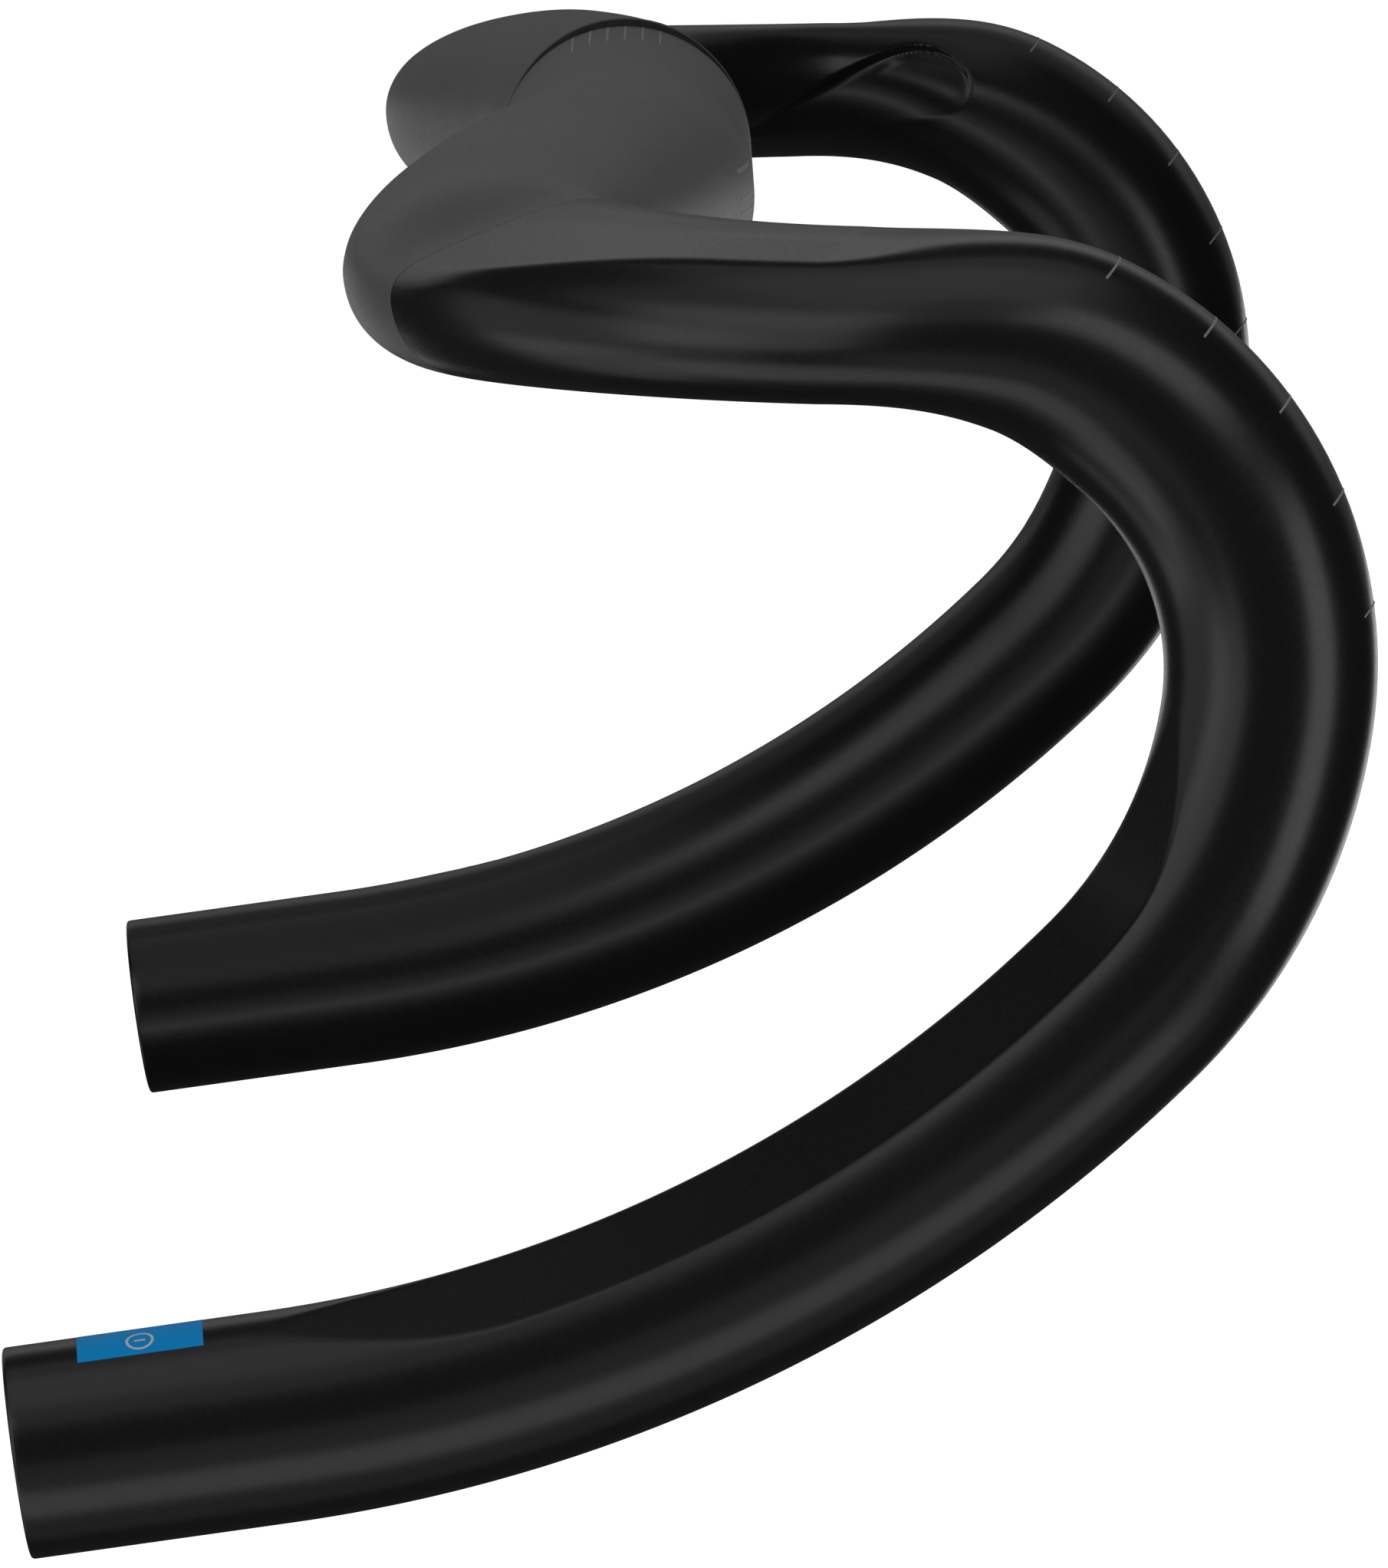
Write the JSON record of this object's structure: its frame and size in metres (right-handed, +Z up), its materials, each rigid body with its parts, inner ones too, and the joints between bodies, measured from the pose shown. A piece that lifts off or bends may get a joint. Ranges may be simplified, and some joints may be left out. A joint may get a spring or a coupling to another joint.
{
  "type": "drop handlebar",
  "caption": "Compact drop handlebar: round clamp zone, flat-topped wings, leaning ramps, deep curved hooks and round drops with a flattened palm side and open ends.",
  "frame": {"origin": "middle of the clamp zone, on the clamp's axis", "axes": "+X to the rider's right along the clamp's axis, +Y forwards, +Z up with the ramps level"},
  "size_m": [0.4586, 0.1539, 0.1578],
  "materials": {
    "grey_matt_paint": "matt dark grey lacquer over carbon laminate",
    "black_satin_finish": "satin black finish over carbon laminate",
    "bare_carbon": "bare carbon laminate, hidden inside the bar",
    "blue_label_film": "printed blue film under lacquer"
  },
  "bodies": {
    "root": {"clamp_tube": "grey_matt_paint", "wing_right": "grey_matt_paint", "wing_left": "grey_matt_paint", "joint_sleeve_right": "bare_carbon", "joint_sleeve_left": "bare_carbon", "drop_right": "black_satin_finish", "drop_left": "black_satin_finish", "label_right": "blue_label_film"}
  },
  "joints": []
}
